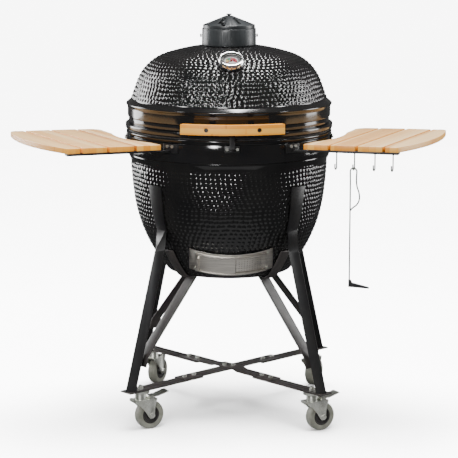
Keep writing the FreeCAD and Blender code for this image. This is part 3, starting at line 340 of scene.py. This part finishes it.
def softened(node, width, material, segments=2):
    """A CAD node's own shape with its hard edges rounded."""
    source = frame["nodes"][node]
    form = bmesh.new()
    form.from_mesh(source.data)
    bmesh.ops.remove_doubles(form, verts=form.verts, dist=2e-6)
    bmesh.ops.dissolve_limit(form, angle_limit=math.radians(0.4), verts=form.verts, edges=form.edges)
    mesh = bpy.data.meshes.new(node + "_form")
    form.to_mesh(mesh)
    form.free()
    piece = bpy.data.objects.new(node + "_finish", mesh)
    bpy.context.collection.objects.link(piece)
    bevel = piece.modifiers.new("edges", "BEVEL")
    bevel.width = width
    bevel.segments = segments
    bevel.limit_method = "ANGLE"
    bevel.angle_limit = math.radians(32)
    rounded = evaluated(piece)
    bpy.data.objects.remove(piece)
    smooth(rounded)
    return add_piece(node + "_finish", rounded, material, BODY_OF[node], node)


def rounded_corners(points, radius, steps=4):
    """Replaces each corner of an open line by a short arc."""
    line = [Vector(points[0])]
    for before, corner, after in zip(points, points[1:], points[2:]):
        before, corner, after = Vector(before), Vector(corner), Vector(after)
        into, out = (corner - before), (after - corner)
        reach = min(radius, into.length * 0.45, out.length * 0.45)
        first = corner - into.normalized() * reach
        last = corner + out.normalized() * reach
        for step in range(steps + 1):
            share = step / steps
            line.append(first.lerp(corner, share).lerp(corner.lerp(last, share), share))
    line.append(Vector(points[-1]))
    return [tuple(point) for point in line]


def lathe(name, profile, columns, lift=None, closed=True):
    """A turned mesh about Z; lift moves each point out along its normal."""
    profile = np.array(profile)
    rows = len(profile)
    ahead, behind = np.roll(profile, -1, 0), np.roll(profile, 1, 0)
    if not closed:
        ahead[-1], behind[0] = profile[-1], profile[0]
    tangent = ahead - behind
    normal = np.stack([tangent[:, 1], -tangent[:, 0]], 1)
    normal /= np.maximum(np.linalg.norm(normal, axis=1, keepdims=True), 1e-9)
    angle = np.arange(columns) * 2 * math.pi / columns
    rise = lift(angle) if lift else np.zeros((rows, columns))
    radius = profile[:, :1] + normal[:, :1] * rise
    height = profile[:, 1:] + normal[:, 1:] * rise
    points = np.stack([radius * np.cos(angle), radius * np.sin(angle), height], 2).reshape(-1, 3)
    faces = []
    for row in range(rows if closed else rows - 1):
        low, high = row * columns, (row + 1) % rows * columns
        for column in range(columns):
            following = (column + 1) % columns
            faces.append((low + column, low + following, high + following, high + column))
    mesh = bpy.data.meshes.new(name)
    mesh.from_pydata(points.tolist(), [], faces)
    return mesh


def arc(centre, radius, start, stop, count):
    """Points of an arc in the (radius, height) plane; angles in degrees above outwards."""
    angles = np.radians(np.linspace(start, stop, count))
    return [(centre[0] + radius * math.cos(a), centre[1] + radius * math.sin(a)) for a in angles]


BODY_OF = {node: body for body, nodes in frame["record"]["behaviour"]["bodies"].items() for node in nodes}

# ------------------------------------------------------------------ glazed shells

BEAD_PITCH, BEAD_ROW, BEAD_RISE, BEAD_REACH = 0.0150, 0.0130, 0.0024, 0.0076
BEAD_SINK, BEAD_FADE = 0.0014, 0.005
BEAD_STEP = 0.0021
GLAZE_COLUMNS = 860


def beads(profile, first, last):
    """Raised beads in staggered rows between two places on the profile."""
    profile = np.array(profile)
    run = np.concatenate([[0], np.cumsum(np.linalg.norm(np.diff(profile, axis=0), axis=1))])
    start, stop = run[first], run[last]

    def lift(angle):
        rise = np.zeros((len(profile), len(angle)))
        inside = (run >= start) & (run <= stop)
        places = np.where(inside)[0]
        along = (run[places] - start)[:, None]
        radius = profile[places, 0][:, None]
        for offset in (-1, 0, 1):
            row = np.floor(along / BEAD_ROW) + offset
            middle = (row + 0.5) * BEAD_ROW
            row_radius = np.interp(middle + start, run, profile[:, 0])
            count = np.maximum(np.round(2 * math.pi * row_radius / BEAD_PITCH), 6)
            pitch = 2 * math.pi / count
            shift = (row % 2) * 0.5 * pitch + 0.37 * np.sin(row * 12.9898)
            bead = np.round((angle[None, :] - shift) / pitch)
            key = np.mod(bead, count) * 78.233 + row * 37.719
            sway = 0.0013 * np.sin(key)
            drift = 0.0011 * np.sin(key * 1.7 + 1.3)
            across = (angle[None, :] - shift - bead * pitch) * radius + sway
            distance = np.hypot(across, along - middle + drift)
            size = 1.0 + 0.10 * np.sin(key * 2.3)
            bump = 0.5 + 0.5 * np.cos(math.pi * np.clip(distance / (BEAD_REACH * size), 0, 1))
            known = (row >= 0) & (middle < stop - start)
            rise[places] = np.maximum(rise[places], bump * known)
        fade = np.clip(np.minimum(along, (stop - start) - along) / BEAD_FADE, 0, 1)
        rise[places] = (rise[places] * BEAD_RISE - BEAD_SINK) * fade
        return rise

    return lift


def glazed_shell(name, node, profile, first, last):
    mesh = lathe(name, profile, GLAZE_COLUMNS, beads(profile, first, last))
    smooth(mesh, 50)
    return add_piece(name, mesh, GLAZE, BODY_OF[node], node)


def fine(points):
    """Counts the points an arc of this length needs for the beads."""
    length = sum(math.dist(a, b) for a, b in zip(points, points[1:]))
    return max(int(length / BEAD_STEP), 3)


def dense_arc(centre, radius, start, stop):
    return arc(centre, radius, start, stop, fine(arc(centre, radius, start, stop, 40)))


def dense_line(first, last):
    count = fine([first, last])
    return [tuple(np.array(first) + (np.array(last) - np.array(first)) * k / count) for k in range(count)]


def make_dome():
    """Lip, groove, collar and bulge below; beaded flank, shoulder and crown above."""
    low, high = span("dome_lid")
    base, lip = low.z, high.x
    crown_radius, shoulder_radius, wall = 0.6332, 0.1347, 0.024
    crown_centre = (0.0, 1.1261 - crown_radius)
    shoulder = (0.1503, 0.9682)
    lean, top, hole = 19.7, 72.45, 0.055
    hole_angle = math.degrees(math.acos(hole / crown_radius))
    rim = rounded_corners([(lip - 0.025, base), (lip, base), (lip, base + 0.0157), (0.298, base + 0.0157),
                           (0.298, base + 0.0347), (0.3055, base + 0.0347), (0.3055, base + 0.0647),
                           (lip - 0.001, base + 0.0737), (0.2956, base + 0.0857),
                           (0.2930, base + 0.0930)], 0.0035)[:-1]
    outer = dense_line((0.2950, base + 0.0875), arc(shoulder, shoulder_radius, lean, lean, 1)[0])
    outer += dense_arc(shoulder, shoulder_radius, lean, top)
    outer += dense_arc(crown_centre, crown_radius, top, hole_angle)[1:]
    inner = arc(crown_centre, crown_radius - wall, hole_angle, top, 24)
    inner += arc(shoulder, shoulder_radius - wall, top, lean, 14)[1:] + [(0.2716, base + 0.0737)]
    profile = rim + outer + inner
    first = len(rim)
    return glazed_shell("dome_glaze", "dome_lid", profile, first, first + len(outer) - 12)


def make_pot():
    """Flat foot, beaded belly and waist, and the smooth ridge, groove and lip at the top."""
    low, high = span("base_pot")
    belly, waist_radius, belly_radius = (-0.1499, 0.7312), 1.0686, 0.4408
    turn = math.radians(8.1)
    shift = waist_radius - belly_radius
    waist = (belly[0] - shift * math.cos(turn), belly[1] + shift * math.sin(turn))
    wall = 0.026
    foot = [(0.0005, low.z), (0.08, low.z)] + rounded_corners(
        [(0.12, low.z), (0.176, low.z), (0.1868, low.z + 0.0046)], 0.005)
    outer = dense_arc(belly, belly_radius, -40.1, -8.1) + dense_arc(waist, waist_radius, -8.1, -2.0)[1:]
    top = rounded_corners([outer[-1], (0.3035, 0.797), (0.3035, 0.802), (0.300, 0.802), (0.300, 0.858),
                           (high.x, 0.858), (high.x, high.z), (0.287, high.z), (0.2738, 0.80)], 0.003)[1:]
    inner = arc(waist, waist_radius - wall, -2.0, -8.1, 8)
    inner += arc(belly, belly_radius - wall, -8.1, -40.1, 24)[1:]
    floor = rounded_corners([inner[-1], (0.161, 0.460), (0.0005, 0.460)], 0.003)[1:]
    profile = foot + outer + top + inner + floor
    first = len(foot)
    skin = glazed_shell("pot_glaze", "base_pot", profile, first, first + len(outer) - 2)
    cut_draft_opening(skin)
    return skin


def cut_draft_opening(skin):
    """The slot behind the ash door."""
    cutter_mesh = bpy.data.meshes.new("draft_cutter")
    form = bmesh.new()
    bmesh.ops.create_cube(form, size=1.0)
    lean = Matrix.Translation((0, 0, 0.6391)) @ Matrix.Rotation(math.radians(34), 4, "X")
    block = Matrix.Translation((0, -0.2725, 0.004)) @ Matrix.Diagonal((0.196, 0.115, 0.052, 1))
    bmesh.ops.transform(form, matrix=lean @ block, verts=form.verts)
    form.to_mesh(cutter_mesh)
    form.free()
    cutter = bpy.data.objects.new("draft_cutter", cutter_mesh)
    bpy.context.collection.objects.link(cutter)
    boolean = skin.modifiers.new("draft", "BOOLEAN")
    boolean.object = cutter
    boolean.operation = "DIFFERENCE"
    boolean.solver = "EXACT"
    opened = evaluated(skin)
    skin.modifiers.clear()
    skin.data = opened
    bpy.data.objects.remove(cutter)
    smooth(opened, 50)


make_dome()
make_pot()

# ------------------------------------------------------------------ thermometer face

DIAL_CENTRE = Vector((0, -0.21765, 1.08485))
DIAL_TILT = Matrix.Rotation(math.radians(30), 4, "X")


def on_dial(form, lift):
    """Moves a flat shape drawn about the origin onto the dial."""
    place = Matrix.Translation(DIAL_CENTRE) @ DIAL_TILT @ Matrix.Translation((0, 0, lift))
    bmesh.ops.transform(form, matrix=place, verts=form.verts)


def dial_zone(name, start, stop, inner, outer, ink):
    """A printed band between two angles, counted from three o'clock against the clock."""
    form = bmesh.new()
    edges = []
    for radius in (inner, outer):
        points = arc((0, 0), radius, start, stop, 30)
        edges.append([form.verts.new((x, y, 0)) for x, y in points])
    for index in range(29):
        form.faces.new((edges[0][index], edges[1][index], edges[1][index + 1], edges[0][index + 1]))
    on_dial(form, 0.00812)
    mesh = bpy.data.meshes.new(name)
    bmesh.ops.recalc_face_normals(form, faces=form.faces)
    form.to_mesh(mesh)
    form.free()
    add_piece(name, mesh, INK[ink], "lid")


def dial_ticks():
    form = bmesh.new()
    for index in range(33):
        angle = math.radians(-40 + index * 260 / 32)
        long = index % 4 == 0
        half = 0.0004 if long else 0.0002
        along = Vector((math.cos(angle), math.sin(angle), 0))
        side = Vector((-along.y, along.x, 0)) * half
        inner, outer = along * (0.0172 if long else 0.0184), along * 0.0200
        corners = [inner - side, outer - side, outer + side, inner + side]
        form.faces.new([form.verts.new(corner) for corner in corners])
    on_dial(form, 0.00826)
    mesh = bpy.data.meshes.new("dial_ticks")
    form.to_mesh(mesh)
    form.free()
    add_piece("dial_ticks", mesh, INK["black"], "lid")


dial_zone("dial_surround", 0, 360, 0.0205, 0.0325, "grey")
dial_zone("dial_green", 95, 150, 0.0050, 0.0168, "green")
dial_zone("dial_yellow", 150, 205, 0.0050, 0.0168, "yellow")
dial_zone("dial_red", -25, 95, 0.0050, 0.0168, "red")
dial_ticks()

# ------------------------------------------------------------------ ash tool

def cut_corners(points, rounds=3):
    """Rounds a line of points by cutting its corners several times."""
    for _ in range(rounds):
        cut = [points[0]]
        for before, after in zip(points, points[1:]):
            cut += [before.lerp(after, 0.25), before.lerp(after, 0.75)]
        points = cut + [points[-1]]
    return points


def tube(form, path, radius, sides=12):
    """A round wire along a path that keeps close to the tool's upright plane."""
    rings = []
    across = Vector((0, 0, 1)).cross(TOOL_SIDE)
    for index, centre in enumerate(path):
        ahead = (path[min(index + 1, len(path) - 1)] - path[max(index - 1, 0)]).normalized()
        other = ahead.cross(across)
        turns = [2 * math.pi * step / sides for step in range(sides)]
        rings.append([form.verts.new(centre + (across * math.cos(turn) + other * math.sin(turn)) * radius)
                      for turn in turns])
    for low, high in zip(rings, rings[1:]):
        for here in range(sides):
            beside = (here + 1) % sides
            form.faces.new((low[here], low[beside], high[beside], high[here]))
    form.faces.new(rings[0])
    form.faces.new(rings[-1])


TOOL_SIDE = Vector((math.sin(TABLE_ANGLE), -math.cos(TABLE_ANGLE), 0))
HANG = next(Vector(joint["pos_m"]) for joint in frame["record"]["behaviour"]["joints"]
            if joint["name"] == "ash_tool_swing")


def make_ash_tool():
    """One wire bent into a long-necked eye, with a flat scraper blade at its foot."""
    low, high = span("ash_tool")
    eye = Vector((HANG.x, HANG.y, high.z - 0.01225))

    def at(aside, below, back=0.0):
        return eye + TOOL_SIDE * aside - Vector((0, 0, below)) - Vector((0, 0, 1)).cross(TOOL_SIDE) * back

    form = bmesh.new()
    foot = eye.z - low.z - 0.014
    turns = [math.radians(180 - 15 * step) for step in range(13)]
    over = [at(0.010 * math.cos(turn), -0.010 * math.sin(turn)) for turn in turns]
    neck = cut_corners([at(0.010, 0), at(0.009, 0.022, 0.001), at(0.012, 0.042, 0.0045),
                        at(0.020, 0.060, 0.0050), at(0.021, 0.080, 0.0050), at(0.012, 0.096, 0.0040),
                        at(-0.001, 0.104, 0.0015), at(-0.0092, 0.114)])
    stem = [at(-0.0094, foot), at(-0.0094, 0.06), at(-0.0095, 0.03), at(-0.010, 0.006)]
    tube(form, stem + over + neck[1:], 0.00225)
    outline = [(-0.0122, 0.022), (-0.004, 0.022), (-0.001, 0.014), (0.051, 0.005), (0.051, 0.0),
               (-0.0122, 0.0)]
    sheets = [[form.verts.new(at(aside, eye.z - low.z - lift) + Vector((0, 0, 1)).cross(TOOL_SIDE) * half)
               for aside, lift in outline] for half in (-0.0015, 0.0015)]
    form.faces.new(sheets[0])
    form.faces.new(sheets[1])
    for here in range(len(outline)):
        beside = (here + 1) % len(outline)
        form.faces.new((sheets[0][here], sheets[0][beside], sheets[1][beside], sheets[1][here]))
    bmesh.ops.recalc_face_normals(form, faces=form.faces)
    mesh = bpy.data.meshes.new("ash_tool_wire")
    form.to_mesh(mesh)
    form.free()
    add_piece("ash_tool_wire", mesh, PAINT, "hanging_tool", "ash_tool")
    smooth(mesh, 40)


make_ash_tool()

# ------------------------------------------------------------------ softened CAD shapes

softened("handle_grip", 0.0055, BAMBOO_HANDLE, 4)
for side in SIDES:
    slats = softened("table_slats_" + side, 0.0016, BAMBOO_PAINTED_LIT_TOP[side], 3).data
    slats.materials.append(BAMBOO_EDGE[side])
    # Painted light: faces pointing up or down take the paler lit-top material, and upright faces take the
    # plain edge material.
    for face in slats.polygons:
        face.material_index = 0 if abs(face.normal.z) > 0.7 else 1
    softened("table_arms_" + side, 0.0008, PAINT)
for corner in CORNERS:
    softened("leg_" + corner, 0.0012, PAINT)
    softened("castor_fork_" + corner, 0.0007, ZINC)
softened("leg_braces", 0.0012, BAR_PAINT)
softened("cross_bars", 0.0009, BAR_PAINT)
softened("lid_band", 0.0010, BAND)
softened("base_band", 0.0014, BAND)
softened("vent_collar", 0.0012, IRON)
softened("vent_cap", 0.0012, IRON)
softened("handle_brackets", 0.0010, PAINT)
softened("table_brackets", 0.0008, PAINT)
softened("latch_strap", 0.0006, PAINT)
softened("latch_catch", 0.0006, PAINT)
softened("hinge_lid_bracket", 0.0010, PAINT)
softened("hinge_base_bracket", 0.0010, PAINT)
softened("ash_door_frame", 0.0008, STEEL)
softened("thermometer_bezel", 0.0006, CHROME, 3)

# ------------------------------------------------------------------ finishes of the carried CAD shapes

FINISHES = [
    (FELT, ["lid_gasket", "base_gasket"]),
    (IRON, ["vent_grate", "vent_pivot"]),
    (DARK_ZINC, ["lid_screws"]),
    (ZINC, ["hinge_pin", "hinge_springs", "castor_stems", "frame_bolts",
            "brake_pedal_front_left", "brake_pedal_front_right"]),
    (CHROME, ["thermometer_case"]),
    (FACE, ["thermometer_dial"]),
    (NEEDLE, ["thermometer_needle"]),
    (GLASS, ["thermometer_lens"]),
    (STEEL, ["ash_door_panel", "ash_door_screen"]),
    (CLAY, ["fire_box", "fire_ring"]),
    (COAL_IRON, ["charcoal_grate"]),
    (GRATE, ["cooking_grate"]),
    (PAINT, ["hooks"]),
    (TYRE, ["castor_tyre_" + corner for corner in CORNERS]),
    (PLASTIC, ["castor_hub_" + corner for corner in CORNERS]),
]
for finish, names in FINISHES:
    for name in names:
        mesh = frame["nodes"][name].data
        mesh.materials.clear()
        mesh.materials.append(finish)
        smooth(mesh, 28)

def stage_piece(name, mesh, glow, mirrored):
    """A part of the studio with a glow of its own, seen either directly or in reflections."""
    piece = bpy.data.objects.new(name, mesh)
    bpy.context.collection.objects.link(piece)
    shade = Shader(name + "_paint", Roughness=0.9, Specular_IOR_Level=0.0, Emission_Strength=glow)
    cloud = shade.noise(0.8)
    tone = 0.02 if mirrored else 0.84
    shade.colour(shade.ramp(cloud, [(0.3, (tone,) * 3), (0.7, (tone + 0.02,) * 3)]))
    shade.feed(shade.surface.inputs["Emission Color"],
               shade.ramp(cloud, [(0.3, (0.99, 0.99, 1.0)), (0.7, (1.0, 1.0, 1.0))]))
    mesh.materials.append(shade.material)
    piece.visible_camera = not mirrored
    piece.visible_shadow = not mirrored
    piece.visible_transmission = not mirrored
    piece.visible_glossy = mirrored
    piece.visible_diffuse = mirrored
    return piece


def sheet_mesh(name, low, high, z):
    corners = [(low[0], low[1], z), (high[0], low[1], z), (high[0], high[1], z), (low[0], high[1], z)]
    mesh = bpy.data.meshes.new(name)
    mesh.from_pydata(corners, [], [(0, 1, 2, 3)])
    return mesh


def surround_mesh(radius):
    """A ball round the whole studio that gives the reflections their dim grey."""
    mesh = bpy.data.meshes.new("surround")
    form = bmesh.new()
    bmesh.ops.create_icosphere(form, subdivisions=3, radius=radius)
    form.to_mesh(mesh)
    form.free()
    return mesh


def wash(sheet):
    """An even light for the floor alone, so that it is white and still takes the grill's shadow."""
    light = bpy.data.lights.new("floor_wash", "SUN")
    light.energy = 30
    light.angle = math.radians(38)
    lamp = bpy.data.objects.new("floor_wash", light)
    bpy.context.collection.objects.link(lamp)
    receivers = bpy.data.collections.new("washed_sheets")
    receivers.objects.link(sheet)
    lamp.light_linking.receiver_collection = receivers


wash(stage_piece("floor", sheet_mesh("floor", (-6, -7), (6, 6), 0), 0.05, False))
stage_piece("door_card", sheet_mesh("door_card", (-0.6, -1.1), (0.6, -0.2), -0.002), 0.5, True)
stage_piece("surround", surround_mesh(9.0), 0.1, True)
